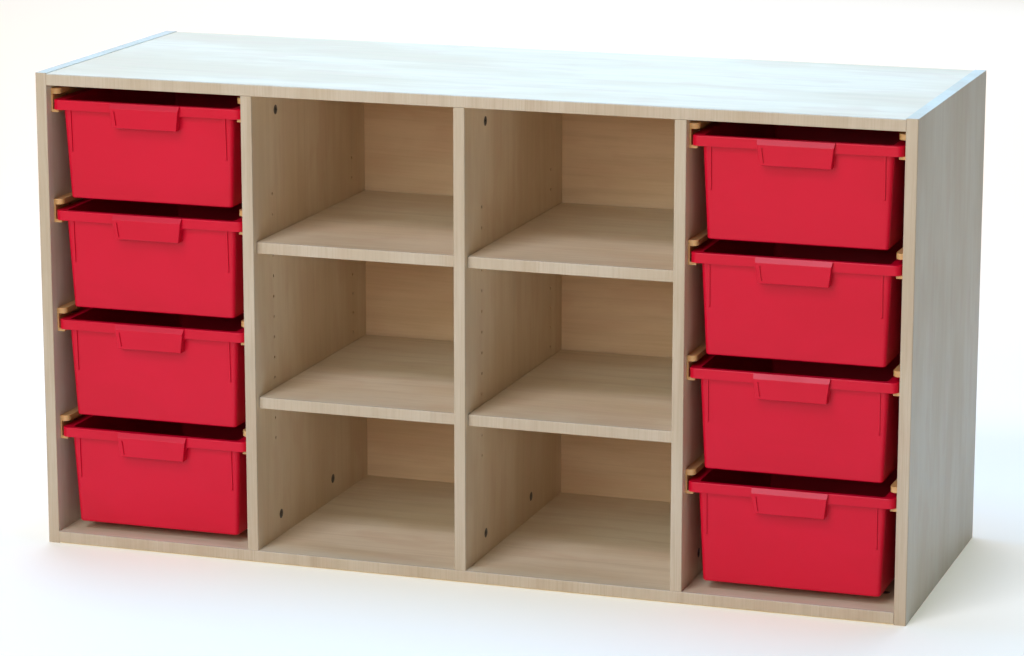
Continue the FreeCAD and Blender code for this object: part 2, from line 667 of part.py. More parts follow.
# ---------------------------------------------------------------- trays
def tray(name, bay, row):
    """Deep tray with a skirted lip and a hollow pull handle.  Local origin at the middle of the
    lip's front edge, at the lip's top; the tray runs back along +Y and down along -Z."""
    body = new_body(name)
    half = dim("tray_wide") / 2
    long_ = dim("tray_long")
    deep = dim("tray_high")
    side, end = dim("body_side"), dim("body_end")
    lean = dim("draft_in")
    wall = dim("tray_wall")
    # body: rounded rectangle that tapers towards the floor
    s1 = new_sketch(body, name + "_body_top", "XY_Plane")
    add_round_rect(s1, half - side, end, long_ - end, dim("body_corner"))
    s2 = new_sketch(body, name + "_body_low", "XY_Plane", -deep)
    add_round_rect(s2, half - side - lean, end + lean, long_ - end - lean, dim("body_corner_low"))
    loft = body.newObject("PartDesign::AdditiveLoft", name + "_shell")
    loft.Profile = s1
    loft.Sections = [s2]
    loft.Ruled = True
    doc.recompute()
    low = -VALUE["tray_high"]
    names = edge_names(loft, lambda a, b, e: near(a.z, low) and near(b.z, low))
    foot = fillet(body, name + "_foot", loft, names, dim("tray_foot"))
    doc.recompute()
    # lip: a block all round, hollowed from below into a ledge and a skirt
    s3 = new_sketch(body, name + "_lip_outline", "XY_Plane")
    add_round_rect(s3, half, 0, long_, dim("lip_corner"))
    pad(body, name + "_lip", s3, dim("lip_high"), reverse=True)
    doc.recompute()
    before = body.Shape.Volume
    s4 = new_sketch(body, name + "_lip_hollow", "XY_Plane", -dim("lip_high"))
    t = dim("lip_wall")
    add_round_rect(s4, half - t, t, long_ - t, dim("lip_corner") - t)
    add_round_rect(s4, half - side, end, long_ - end, dim("body_corner"))
    pocket(body, name + "_under_lip", s4, dim("lip_high") - t, reverse=True)
    before = cut_check(body, before, "under lip")
    # handle block, wider at the top than at the bottom, standing out in front of the lip
    hw, hl = dim("handle_wide") / 2, dim("handle_wide_low") / 2
    hh, ho = dim("handle_high"), dim("handle_out")
    s5 = new_sketch(body, name + "_handle_front", "XZ_Plane", ho)
    add_polygon(s5, [(-hw, 0), (-hl, -hh), (hl, -hh), (hw, 0)])
    pad(body, name + "_handle", s5, ho + end + 2.0, reverse=True)
    # rounded web between the skirt and each handle side
    rad = dim("handle_round")
    s6 = new_sketch(body, name + "_web", "XZ_Plane")
    for sign in (-1, 1):
        add_web(s6, sign, hw - (hw - hl) * dim("lip_high") / hh - 0.6, dim("lip_high"), rad)
    pad(body, name + "_web_pad", s6, t, reverse=True)
    doc.recompute()
    before = body.Shape.Volume
    # sloped band along the handle's top edge
    s7 = new_sketch(body, name + "_band", "YZ_Plane")
    ledge, band = dim("handle_ledge"), dim("handle_band")
    add_polygon(s7, [(-ledge, 0), (-ledge, q(3)), (-ho - 3, 3), (-ho - 3, -band), (-ho, -band)])
    pocket(body, name + "_band_cut", s7, dim("handle_wide"), both=True)
    before = cut_check(body, before, "handle band")
    # inside of the tray
    floor = dim("tray_floor")
    k = lean * (deep - floor) / deep
    s8 = new_sketch(body, name + "_inner_top", "XY_Plane")
    add_round_rect(s8, half - side - wall, end + wall, long_ - end - wall, dim("body_corner") - wall)
    s9 = new_sketch(body, name + "_inner_low", "XY_Plane", -(deep - floor))
    add_round_rect(s9, half - side - wall - k, end + wall + k, long_ - end - wall - k,
                   dim("body_corner_low") - wall)
    hollow = body.newObject("PartDesign::SubtractiveLoft", name + "_hollow")
    hollow.Profile = s8
    hollow.Sections = [s9]
    hollow.Ruled = True
    before = cut_check(body, before, "tray hollow")
    # finger gap behind the handle plate, open below
    s10 = new_sketch(body, name + "_finger_gap", "YZ_Plane")
    plate = dim("handle_plate")
    back_y = plate - ho
    drop = hh + 1.0
    add_polygon(s10, [(back_y, -drop), (back_y, -(band + 1.6)), (end, -3.0),
                      (end + lean * drop / deep, -drop)])
    pocket(body, name + "_gap_cut", s10, 2 * dim("gap_half"), both=True)
    before = cut_check(body, before, "finger gap")
    # narrow label slot at the left end of the plate, leaning like the plate's side
    s11 = new_sketch(body, name + "_label", "XZ_Plane", ho)
    sx, sw = -dim("slot_at"), dim("slot_wide")
    add_polygon(s11, [(sx, -dim("slot_top")), (sx + dim("slot_lean"), -dim("slot_low")),
                      (sx + dim("slot_lean") + sw, -dim("slot_low")), (sx + sw, -dim("slot_top"))])
    last = pocket(body, name + "_label_slot", s11, dim("slot_deep"), reverse=False)
    before = cut_check(body, before, "label slot")
    # stacking ribs on the front and rear walls, ending in a short slope
    rib_low, rib_out, rib_end = dim("rib_low"), dim("rib_out"), dim("rib_end")
    for tag, at in (("a", -dim("rib_at")), ("b", dim("rib_at"))):
        for face in ("front", "rear"):
            sr = new_sketch(body, "%s_rib_%s_%s" % (name, face, tag), "YZ_Plane", at - dim("rib_wide") / 2)
            y_low = end + lean * rib_low / deep
            y_end = end + lean * (rib_low - rib_end) / deep
            pts = [(end + 1.0, -t), (end - rib_out, -t), (y_end - rib_out, -(rib_low - rib_end)),
                   (y_low, -rib_low), (y_low + 1.0, -rib_low)]
            if face == "rear":
                pts = [(long_ - a, b) for a, b in pts]
            add_polygon(sr, pts)
            last = pad(body, "%s_rib_pad_%s_%s" % (name, face, tag), sr, dim("rib_wide"))
    doc.recompute()
    # softened edges: top of the lip, handle plate
    top_edges = edge_names(last, lambda a, b, e: near(a.z, 0) and near(b.z, 0) and
                           (near(e.BoundBox.YMin, 0) or near(e.BoundBox.YMax, VALUE["tray_long"])
                            or near(abs(e.BoundBox.Center.x), VALUE["tray_wide"] / 2)
                            or (e.BoundBox.XLength > 3 and e.BoundBox.YLength > 3 and
                                max(abs(e.BoundBox.XMin), abs(e.BoundBox.XMax)) > VALUE["tray_wide"] / 2 - 1)))
    f1 = fillet(body, name + "_lip_round", last, top_edges, q(1.5))
    doc.recompute()
    yf = -VALUE["handle_out"]
    z_band = -VALUE["handle_band"]
    z_slot = (-VALUE["slot_low"] - 0.1, -VALUE["slot_top"] + 0.1)
    handle_edges = edge_names(f1, lambda a, b, e: near(a.y, yf) and near(b.y, yf) and
                              a.z < z_band + 0.1 and b.z < z_band + 0.1 and
                              not (z_slot[0] < a.z < z_slot[1] and z_slot[0] < b.z < z_slot[1]))
    fillet(body, name + "_handle_round", f1, handle_edges, q(1.4))
    place(body, bay_mid[bay], FRONT + dim("tray_front"), tray_tops[row])
    NODES.append(body)


def add_web(s, sign, x_edge, z_edge, rad):
    """A three-sided patch with one hollow side, filling the corner below the skirt beside the
    handle.  x_edge is the handle side, z_edge the skirt's lower edge (below the lip top)."""
    one = q(sign)
    lap = q(0.5)
    xa, za = x_edge, z_edge
    cx, cz = xa + rad + lap, za + rad
    x0 = one * xa
    x1 = one * (xa + rad + lap)
    x2 = one * (xa + lap)
    pts = [V(x0.v, -(za.v - 1), 0), V(x1.v, -(za.v - 1), 0), V(x1.v, -za.v, 0),
           V(x2.v, -cz.v, 0), V(x0.v, -cz.v, 0)]
    g0 = s.addGeometry(Part.LineSegment(pts[0], pts[1]), False)
    g1 = s.addGeometry(Part.LineSegment(pts[1], pts[2]), False)
    centre = V(one.v * cx.v, -cz.v, 0)
    circle = Part.Circle(centre, V(0, 0, 1), rad.v)
    if sign > 0:
        arc = Part.ArcOfCircle(circle, math.pi / 2, math.pi)
        a_start, a_end = 1, 2       # start at the skirt, end at the handle side
    else:
        arc = Part.ArcOfCircle(circle, 0, math.pi / 2)
        a_start, a_end = 2, 1
    g2 = s.addGeometry(arc, False)
    g3 = s.addGeometry(Part.LineSegment(pts[3], pts[4]), False)
    g4 = s.addGeometry(Part.LineSegment(pts[4], pts[0]), False)
    s.addConstraint(Sketcher.Constraint("Coincident", g0, 2, g1, 1))
    s.addConstraint(Sketcher.Constraint("Coincident", g1, 2, g2, a_start))
    s.addConstraint(Sketcher.Constraint("Coincident", g2, a_end, g3, 1))
    s.addConstraint(Sketcher.Constraint("Coincident", g3, 2, g4, 1))
    s.addConstraint(Sketcher.Constraint("Coincident", g4, 2, g0, 1))
    fix_x(s, g0, 1, x0)
    fix_y(s, g0, 1, -(za - 1))
    fix_x(s, g0, 2, x1)
    fix_y(s, g0, 2, -(za - 1))
    fix_x(s, g1, 2, x1)
    fix_y(s, g1, 2, -za)
    fix_x(s, g3, 1, x2)
    fix_y(s, g3, 1, -cz)
    fix_x(s, g3, 2, x0)
    fix_y(s, g3, 2, -cz)
    i = s.addConstraint(Sketcher.Constraint("Radius", g2, rad.v))
    bind(s, "Constraints[%d]" % i, rad)


for bay, tag in ((0, "left_bay"), (3, "right_bay")):
    for row in range(4):
        tray("tray_%s_row%d" % (tag, row + 1), bay, row)


# ---------------------------------------------------------------- fasteners
# Identical fasteners share one node as separate solids: a prototype is built from Part
# primitives bound to the sheet, and every place it is used at is a copy of it.
def prim(kind, name, sizes, x=0, y=0, z=0, rotation=None):
    o = doc.addObject(kind, name)
    o.Placement = FreeCAD.Placement(V(q(x).v, q(y).v, q(z).v), rotation or FreeCAD.Rotation())
    for key, size in sizes.items():
        setattr(o, key, q(size).v)
        bind(o, key, q(size))
    for key, size in (("x", x), ("y", y), ("z", z)):
        bind(o, ".Placement.Base." + key, q(size))
    return o


def group(name, prototype, places):
    """One node made of a copy of the prototype at each (x, y, z, rotation)."""
    doc.recompute()
    solids = []
    for x, y, z, rotation in places:
        shape = prototype.Shape.copy()
        shape.Placement = FreeCAD.Placement(V(q(x).v, q(y).v, q(z).v), rotation) * prototype.Shape.Placement
        solids += shape.Solids
    node = doc.addObject("Part::Feature", name)
    node.Label = name
    node.Shape = Part.makeCompound(solids)
    node.Placement = FreeCAD.Placement()
    NODES.append(node)
    return node


UP = FreeCAD.Rotation()
DOWN = FreeCAD.Rotation(V(1, 0, 0), 180)
TO_RIGHT = FreeCAD.Rotation(V(0, 1, 0), 90)      # local +Z to +X
TO_LEFT = FreeCAD.Rotation(V(0, 1, 0), -90)      # local +Z to -X

# cam: a drum lying 0.4 below the panel face, with a cross slot and a cavity for the bolt head.
# Local origin in the middle of its outer face, local +Z outwards, local +X towards the joint.
drum = prim("Part::Cylinder", "cam_drum", {"Radius": dim("cam_body") / 2, "Height": dim("cam_high")},
            0, 0, -dim("cam_high"))
cav_z = -(board / 2 - q(0.4))
cavity = prim("Part::Cylinder", "cam_cavity_tool", {"Radius": dim("cam_cavity") / 2, "Height": q(12.0)},
              -4.0, 0, cav_z, TO_RIGHT)
slot_a = prim("Part::Box", "cam_slot_a", {"Length": q(9.0), "Width": q(1.6), "Height": q(2.2)},
              -4.5, -0.8, -2.0)
slot_b = prim("Part::Box", "cam_slot_b", {"Length": q(1.6), "Width": q(9.0), "Height": q(2.2)},
              -0.8, -4.5, -2.0)
tools = doc.addObject("Part::MultiFuse", "cam_tools")
tools.Shapes = [cavity, slot_a, slot_b]
cam = doc.addObject("Part::Cut", "cam_prototype")
cam.Base = drum
cam.Tool = tools

# cam bolt: thread below the joint face, plain shank and neck, and a head inside the cam.
# Local origin on the joint face, local +Z along the bolt towards the cam.
thread = prim("Part::Cylinder", "bolt_thread_part", {"Radius": dim("bolt_thread") / 2,
              "Height": dim("bolt_thread_long")}, 0, 0, -dim("bolt_thread_long"))
shank = prim("Part::Cylinder", "bolt_shank_part", {"Radius": dim("bolt_shank") / 2,
             "Height": dim("bolt_reach") - 6.0})
neck = prim("Part::Cylinder", "bolt_neck_part", {"Radius": q(2.0), "Height": dim("bolt_reach")})
head = prim("Part::Cylinder", "bolt_head_part", {"Radius": dim("bolt_head") / 2,
            "Height": dim("bolt_head_long")}, 0, 0, dim("bolt_reach") - dim("bolt_head_long") + 2.0)
neck2 = prim("Part::Cylinder", "bolt_neck_end", {"Radius": q(2.0), "Height": q(3.0)}, 0, 0,
             dim("bolt_reach") - 1.5)
bolt = doc.addObject("Part::MultiFuse", "bolt_prototype")
bolt.Shapes = [thread, shank, neck, neck2, head]

peg_a = prim("Part::Cylinder", "peg_in_hole", {"Radius": dim("peg_body") / 2, "Height": dim("peg_in")},
             0, 0, -dim("peg_in"))
peg_b = prim("Part::Cylinder", "peg_under_shelf", {"Radius": dim("peg_head") / 2, "Height": dim("peg_out")})
peg = doc.addObject("Part::MultiFuse", "peg_prototype")
peg.Shapes = [peg_a, peg_b]

screw_a = prim("Part::Cylinder", "screw_shank_part", {"Radius": dim("screw_shank") / 2,
               "Height": dim("screw_long") + dim("runner_web")}, 0, 0, -(dim("screw_long") + dim("runner_web")))
screw_b = prim("Part::Cylinder", "screw_head_part", {"Radius": dim("screw_head") / 2,
               "Height": dim("screw_head_high")})
screw_tool = prim("Part::Box", "screw_slot_tool", {"Length": q(4.0), "Width": q(1.0), "Height": q(1.0)},
                  -2.0, -0.5, dim("screw_head_high") - 0.6)
screw_tool2 = prim("Part::Box", "screw_slot_tool2", {"Length": q(1.0), "Width": q(4.0), "Height": q(1.0)},
                   -0.5, -2.0, dim("screw_head_high") - 0.6)
screw_body = doc.addObject("Part::MultiFuse", "screw_body")
screw_body.Shapes = [screw_a, screw_b]
screw_cross = doc.addObject("Part::MultiFuse", "screw_cross")
screw_cross.Shapes = [screw_tool, screw_tool2]
screw = doc.addObject("Part::Cut", "screw_prototype")
screw.Base = screw_body
screw.Tool = screw_cross

dowel_part = prim("Part::Cylinder", "dowel_prototype", {"Radius": dim("dowel") / 2,
                  "Height": dim("dowel_face_in") + dim("dowel_end_in")}, 0, 0, -dim("dowel_face_in"))
doc.recompute()

level_low = dim("proud")
level_high = dim("overall_high") - dim("proud") - board
ceiling = level_high
cams, bolts, dowels = [], [], []
for k in (1, 2, 3):
    face = bay_left[k]
    mid = bay_left[k] - board / 2
    for y in cam_y:
        # the cam's cavity faces down at the lower joint and up at the upper one
        low_turn = FreeCAD.Rotation(V(0, 0, -1), V(0, 1, 0), V(1, 0, 0), "XYZ")
        high_turn = FreeCAD.Rotation(V(0, 0, 1), V(0, -1, 0), V(1, 0, 0), "XYZ")
        cams.append((face - 0.4, FRONT + y, floor_top + dim("cam_in"), low_turn))
        cams.append((face - 0.4, FRONT + y, ceiling - dim("cam_in"), high_turn))
        bolts.append((mid, FRONT + y, floor_top, UP))
        bolts.append((mid, FRONT + y, ceiling, DOWN))
    for y in dowel_y:
        dowels.append((mid, FRONT + y, floor_top, UP))
        dowels.append((mid, FRONT + y, ceiling, DOWN))
for base, top in ((level_low, False), (level_high, True)):
    zc = base + board / 2
    for y in cam_y:
        for side in (-1, 1):
            x_joint = side * (half_w - board)
            x_cam = side * (half_w - board - dim("cam_in"))
            ax = V(side, 0, 0)                       # towards the joint
            az = V(0, 0, -1 if top else 1)           # out of the panel face
            ay = az.cross(ax)
            turn = FreeCAD.Rotation(ax, ay, az, "XYZ")
            z_face = base + 0.4 if top else base + board - 0.4
            cams.append((x_cam, FRONT + y, z_face, turn))
            bolts.append((x_joint, FRONT + y, zc, TO_LEFT if side > 0 else TO_RIGHT))
    for y in dowel_y:
        for side in (-1, 1):
            dowels.append((side * (half_w - board), FRONT + y, zc, TO_LEFT if side > 0 else TO_RIGHT))
group("cam_locks", cam, cams)
group("cam_bolts", bolt, bolts)
group("dowels", dowel_part, dowels)

pegs = []
for bay in (1, 2):
    for z in shelf_peg_z:
        for y in (dim("peg_front"), dim("peg_rear")):
            pegs.append((bay_left[bay], FRONT + y, z, TO_RIGHT))
            pegs.append((bay_left[bay] + dim("bay_wide"), FRONT + y, z, TO_LEFT))
group("shelf_pins", peg, pegs)

screws = []
for bay, row, left in RUNNERS:
    for a in ("screw_front", "screw_rear"):
        y = FRONT + dim("runner_front") + dim(a)
        z = runner_z[row] + dim("screw_up")
        if left:
            screws.append((bay_left[bay] + dim("runner_web"), y, z, TO_RIGHT))
        else:
            screws.append((bay_left[bay] + dim("bay_wide") - dim("runner_web"), y, z, TO_LEFT))
group("runner_screws", screw, screws)

# ---------------------------------------------------------------- checks and files
doc.recompute()
bad = []
for o in doc.Objects:
    if "Invalid" in o.State or "Error" in o.State:
        bad.append(o.Name)
if bad:
    raise RuntimeError("failed objects: " + ", ".join(bad))
for node in NODES:
    if node.Shape.isNull() or not node.Shape.isValid() or node.Shape.Volume <= 0:
        raise RuntimeError("bad shape: " + node.Label)
labels = [node.Label for node in NODES]
if len(set(labels)) != len(labels) or len(labels) > 60:
    raise RuntimeError("node names are not unique, or too many")

os.makedirs("parts", exist_ok=True)
for node in NODES:
    node.Shape.exportStep(os.path.join("parts", node.Label + ".step"))
box = FreeCAD.BoundBox()
for node in NODES:
    box.add(node.Shape.BoundBox)
print("nodes %d" % len(NODES))
print("box X %.2f %.2f  Y %.2f %.2f  Z %.2f %.2f" % (box.XMin, box.XMax, box.YMin, box.YMax, box.ZMin, box.ZMax))
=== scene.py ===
import math

import bpy
from mathutils import Matrix, Vector

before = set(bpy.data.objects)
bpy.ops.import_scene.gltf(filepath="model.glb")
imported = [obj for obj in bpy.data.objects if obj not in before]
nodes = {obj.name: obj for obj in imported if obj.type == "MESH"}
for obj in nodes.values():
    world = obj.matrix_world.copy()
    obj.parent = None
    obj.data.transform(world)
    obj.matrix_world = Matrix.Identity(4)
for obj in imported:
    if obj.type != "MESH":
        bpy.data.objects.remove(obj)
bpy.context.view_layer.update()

MM = 0.001


# ---------------------------------------------------------------- node helpers

class Tree:
    """A small builder for shader node trees: T.math("ADD", a, b) and so on give sockets."""

    def __init__(self, material):
        material.use_nodes = True
        self.nt = material.node_tree
        self.nt.nodes.clear()
        self.out = self.add("ShaderNodeOutputMaterial")
        self.bsdf = self.add("ShaderNodeBsdfPrincipled")
        self.nt.links.new(self.bsdf.outputs[0], self.out.inputs["Surface"])
        self.coord = self.add("ShaderNodeTexCoord").outputs["Object"]

    def add(self, kind, **props):
        n = self.nt.nodes.new(kind)
        for k, v in props.items():
            setattr(n, k, v)
        return n

    def put(self, socket, value):
        """Links a socket, or sets a constant on the input itself."""
        if isinstance(value, bpy.types.NodeSocket):
            self.nt.links.new(value, socket)
        elif value is not None:
            if hasattr(socket.default_value, "__len__") and isinstance(value, (int, float)):
                value = (value,) * len(socket.default_value)
            if hasattr(value, "__len__") and len(value) == 3 and len(socket.default_value) == 4:
                value = (*value, 1.0)
            socket.default_value = value

    def math(self, op, a, b=None, c=None, clamp=False):
        n = self.add("ShaderNodeMath", operation=op, use_clamp=clamp)
        for i, v in enumerate((a, b, c)):
            if v is not None:
                self.put(n.inputs[i], v)
        return n.outputs[0]

    def vec(self, op, a, b=None):
        n = self.add("ShaderNodeVectorMath", operation=op)
        self.put(n.inputs[0], a)
        if b is not None:
            self.put(n.inputs[1], b)
        return n.outputs[0]

    def xyz(self, v):
        n = self.add("ShaderNodeSeparateXYZ")
        self.put(n.inputs[0], v)
        return n.outputs

    def scaled(self, v, s, offset=(0, 0, 0)):
        n = self.add("ShaderNodeMapping")
        self.put(n.inputs["Vector"], v)
        n.inputs["Scale"].default_value = s
        n.inputs["Location"].default_value = offset
        return n.outputs[0]

    def noise(self, v, scale=1.0, detail=2.0, rough=0.5, distortion=0.0, lacunarity=2.0):
        n = self.add("ShaderNodeTexNoise")
        self.put(n.inputs["Vector"], v)
        n.inputs["Scale"].default_value = scale
        n.inputs["Detail"].default_value = detail
        n.inputs["Roughness"].default_value = rough
        n.inputs["Lacunarity"].default_value = lacunarity
        n.inputs["Distortion"].default_value = distortion
        return n.outputs

    def voronoi(self, v, scale=1.0, feature="F1", randomness=1.0, distance="EUCLIDEAN"):
        n = self.add("ShaderNodeTexVoronoi", feature=feature, distance=distance)
        self.put(n.inputs["Vector"], v)
        n.inputs["Scale"].default_value = scale
        n.inputs["Randomness"].default_value = randomness
        return n.outputs

    def remap(self, v, a, b, c=0.0, d=1.0, smooth=False):
        n = self.add("ShaderNodeMapRange", interpolation_type="SMOOTHSTEP" if smooth else "LINEAR")
        self.put(n.inputs[0], v)
        for i, x in enumerate((a, b, c, d)):
            self.put(n.inputs[i + 1], x)
        return n.outputs[0]

    def mix(self, f, a, b, blend="MIX"):
        n = self.add("ShaderNodeMix", data_type="RGBA", blend_type=blend)
        n.clamp_factor = True
        self.put(n.inputs[0], f)
        self.put(n.inputs[6], a)
        self.put(n.inputs[7], b)
        return n.outputs[2]

    def mixf(self, f, a, b):
        n = self.add("ShaderNodeMix", data_type="FLOAT")
        self.put(n.inputs[0], f)
        self.put(n.inputs[2], a)
        self.put(n.inputs[3], b)
        return n.outputs[0]

    def bump(self, height, distance, strength=1.0, normal=None):
        n = self.add("ShaderNodeBump")
        self.put(n.inputs["Height"], height)
        n.inputs["Distance"].default_value = distance
        n.inputs["Strength"].default_value = strength
        if normal is not None:
            self.put(n.inputs["Normal"], normal)
        return n.outputs[0]

    def set(self, **sockets):
        for name, value in sockets.items():
            self.put(self.bsdf.inputs[name.replace("_", " ")], value)


# ------------------------------------------------------------------- materials

MAPLE_LIGHT = (0.780, 0.605, 0.420)
MAPLE_MID = (0.700, 0.515, 0.330)
MAPLE_DARK = (0.540, 0.375, 0.220)
MAPLE_PINK = (0.710, 0.495, 0.330)
MAPLE_GREY = (0.540, 0.455, 0.330)


def grain_space(T, axis, seed):
    """Coordinates with x, y across the grain and z along it, moved by a seed so that boards differ."""
    x, y, z = T.xyz(T.coord)
    n = T.add("ShaderNodeCombineXYZ")
    order = {"z": (x, y, z), "x": (y, z, x)}[axis]
    for i in range(3):
        T.nt.links.new(order[i], n.inputs[i])
    return T.vec("ADD", n.outputs[0], (seed * 1.37, seed * 2.11, seed * 3.73))


def maple_colour(T, p, contrast=1.0, ticks=0.0, cloudy=1.0):
    """Printed maple: soft clouds, long faint streaks, fine pores, a wavy figure and a few small pips."""
    # slow bends of the grain, so that no streak runs dead straight
    sway = T.noise(T.scaled(p, (1.6, 1.6, 1.1)), 1.0, 2.0, 0.5)["Color"]
    sway = T.vec("MULTIPLY", T.vec("SUBTRACT", sway, (0.5, 0.5, 0.5)), (0.05, 0.05, 0.0))
    q = T.vec("ADD", p, sway)
    clouds = T.noise(T.scaled(q, (11, 11, 3.2)), 1.0, 3.0, 0.55)[0]
    blotch = T.noise(T.scaled(q, (26, 26, 9), (3.1, 0.7, 5.2)), 1.0, 2.0, 0.5, 0.6)[0]
    bands = T.noise(T.scaled(q, (55, 55, 2.6), (9.1, 4.7, 0)), 1.0, 3.0, 0.6, 0.3)[0]
    streaks = T.noise(T.scaled(q, (260, 260, 5.5), (0, 2.2, 7.7)), 1.0, 3.0, 0.62)[0]
    pores = T.noise(T.scaled(q, (1150, 1150, 38), (5.5, 1.1, 0)), 1.0, 2.0, 0.5)[0]
    rings = T.add("ShaderNodeTexWave", wave_type="RINGS", rings_direction="Z", wave_profile="SIN")
    T.put(rings.inputs["Vector"], T.scaled(q, (5.5, 5.5, 0.85), (0.37, 0.21, 0)))
    rings.inputs["Scale"].default_value = 2.3
    rings.inputs["Distortion"].default_value = 5.0
    rings.inputs["Detail"].default_value = 2.0
    rings.inputs["Detail Scale"].default_value = 0.7
    figure = rings.outputs["Fac"]
    c = T.mix(T.remap(clouds, 0.36, 0.66, smooth=True), MAPLE_LIGHT, MAPLE_MID)
    c = T.mix(T.math("MULTIPLY", T.remap(blotch, 0.46, 0.70, smooth=True), 0.36 * cloudy), c, MAPLE_PINK)
    c = T.mix(T.math("MULTIPLY", T.remap(bands, 0.50, 0.74, smooth=True), 0.42 * contrast), c, MAPLE_DARK)
    c = T.mix(T.math("MULTIPLY", T.remap(figure, 0.55, 1.0, smooth=True), 0.16 * contrast), c, MAPLE_DARK)
    c = T.mix(T.math("MULTIPLY", T.remap(streaks, 0.47, 0.74, smooth=True), 0.34 * contrast), c, MAPLE_DARK)
    c = T.mix(T.math("MULTIPLY", T.remap(streaks, 0.50, 0.28, smooth=True), 0.22 * contrast), c, (0.86, 0.70, 0.49))
    c = T.mix(T.math("MULTIPLY", T.remap(pores, 0.57, 0.74, smooth=True), 0.30 * contrast), c, MAPLE_DARK)
    # pips and short smudges, grey brown, sparse
    cell = T.voronoi(T.scaled(q, (7.0, 7.0, 3.1), (1.3, 2.9, 0.4)), 1.0)
    pip = T.remap(cell["Distance"], 0.16, 0.02, smooth=True)
    few = T.math("GREATER_THAN", T.xyz(cell["Color"])[0], 0.70)
    c = T.mix(T.math("MULTIPLY", T.math("MULTIPLY", pip, few), 0.55 * contrast), c, MAPLE_GREY)
    if ticks:
        t = T.noise(T.scaled(p, (520, 520, 11), (2.5, 6.1, 1.9)), 1.0, 1.0, 0.5)[0]
        c = T.mix(T.math("MULTIPLY", T.remap(t, 0.48, 0.70, smooth=True), ticks), c, MAPLE_DARK)
    return c, streaks, pores


def chipboard_colour_and_hole_light(T):
    """Pressed wood flakes, 1 to 5 mm, seen on a cut edge or in a drilled hole; the flakes are lighter than plain
    chipboard, partly their own colour and partly painted light that lifts the shade inside the drilled holes.
    """
    warp = T.noise(T.scaled(T.coord, (60, 60, 60)), 1.0, 2.0, 0.5)["Color"]
    w = T.vec("ADD", T.coord, T.vec("MULTIPLY", warp, (0.004, 0.004, 0.004)))
    big = T.voronoi(T.scaled(w, (300, 300, 420)), 1.0)
    small = T.voronoi(T.scaled(w, (900, 900, 1200), (3, 1, 2)), 1.0)
    a = T.xyz(big["Color"])[0]
    b = T.xyz(small["Color"])[1]
    # Partly painted light: these flake colours are set lighter than plain chipboard to lift the shade in the drilled
    # holes.
    c = T.mix(a, (0.58, 0.40, 0.25), (0.76, 0.58, 0.39))
    c = T.mix(T.math("MULTIPLY", b, 0.45), c, (0.44, 0.29, 0.17))
    c = T.mix(T.math("MULTIPLY", T.remap(small["Distance"], 0.55, 0.85), 0.4), c, (0.24, 0.14, 0.075))
    return c, T.mixf(0.5, a, small["Distance"])


def board_material(name, axis, seed, thin, centre, half, banded, contrast=0.7, tone_and_painted_light=None):
    """A laminated chipboard panel. Laminate covers the two faces (thin is the thickness axis, centre and half its middle
    and half thickness in metres) and the edges listed in banded as (axis, low, high); chipboard shows anywhere else."""
    m = bpy.data.materials.new(name)
    T = Tree(m)
    p = grain_space(T, axis, seed)
    maple, streaks, pores = maple_colour(T, p, contrast, 0.0, 1.5)
    # When given, this multiplier is painted light: a tint standing in for the light and shade this board gets, since
    # the laminate itself is the same on every board.
    if tone_and_painted_light:
        maple = T.vec("MULTIPLY", maple, tone_and_painted_light)
    chips_and_hole_light, chip_height = chipboard_colour_and_hole_light(T)
    xyz = dict(zip("xyz", T.xyz(T.coord)))
    depth = T.math("ABSOLUTE", T.math("SUBTRACT", xyz[thin], centre))
    core = T.math("LESS_THAN", depth, half - 0.00028)
    for ax, low, high in banded:
        inside = T.math("MULTIPLY", T.math("GREATER_THAN", xyz[ax], low), T.math("LESS_THAN", xyz[ax], high))
        core = T.math("MULTIPLY", core, inside)
    line = T.math("LESS_THAN", depth, half - 0.00012)
    colour = T.mix(core, maple, chips_and_hole_light)
    # fine pearl embossing of the pressed laminate, with the grain very slightly telegraphing
    pearl = T.noise(T.scaled(T.coord, (1400, 1400, 1400)), 1.0, 1.0, 0.5)[0]
    height = T.mixf(core, T.math("ADD", T.math("MULTIPLY", pearl, 0.6), T.math("MULTIPLY", pores, -0.4)), T.math("MULTIPLY", chip_height, 6.0))
    rough = T.remap(T.noise(T.scaled(T.coord, (9, 9, 9)), 1.0, 3.0, 0.6)[0], 0.3, 0.7, 0.40, 0.47)
    rough = T.math("ADD", rough, T.math("MULTIPLY", pores, 0.04))
    T.set(Base_Color=colour, Roughness=T.mixf(core, rough, 0.92), Specular_IOR_Level=0.5)
    T.put(T.bsdf.inputs["Normal"], T.bump(height, 0.00003))
    return m


def edging_material(name, seed):
    """2 mm plastic edging with a maple print whose grain stands upright, so it crosses the level strips as fine ticks."""
    m = bpy.data.materials.new(name)
    T = Tree(m)
    p = grain_space(T, "z", seed)
    maple, streaks, pores = maple_colour(T, p, 0.8, 0.34)
    tone_and_painted_light = T.noise(T.scaled(p, (7, 7, 5), (4, 4, 4)), 1.0, 2.0, 0.5)[0]
    maple = T.mix(T.math("MULTIPLY", T.remap(tone_and_painted_light, 0.3, 0.7, smooth=True), 0.35), maple, (0.78, 0.62, 0.43))
    maple = T.vec("MULTIPLY", maple, (0.65, 0.667, 0.70))
    # fine pearl embossing and a slowly varying roughness
    pearl = T.noise(T.scaled(T.coord, (1800, 1800, 1800)), 1.0, 1.0, 0.5)[0]
    rough = T.remap(T.noise(T.scaled(T.coord, (14, 14, 14)), 1.0, 2.0, 0.5)[0], 0.3, 0.7, 0.33, 0.40)
    T.set(Base_Color=maple, Roughness=rough, Specular_IOR_Level=0.5)
    T.put(T.bsdf.inputs["Normal"], T.bump(pearl, 0.00002))
    return m


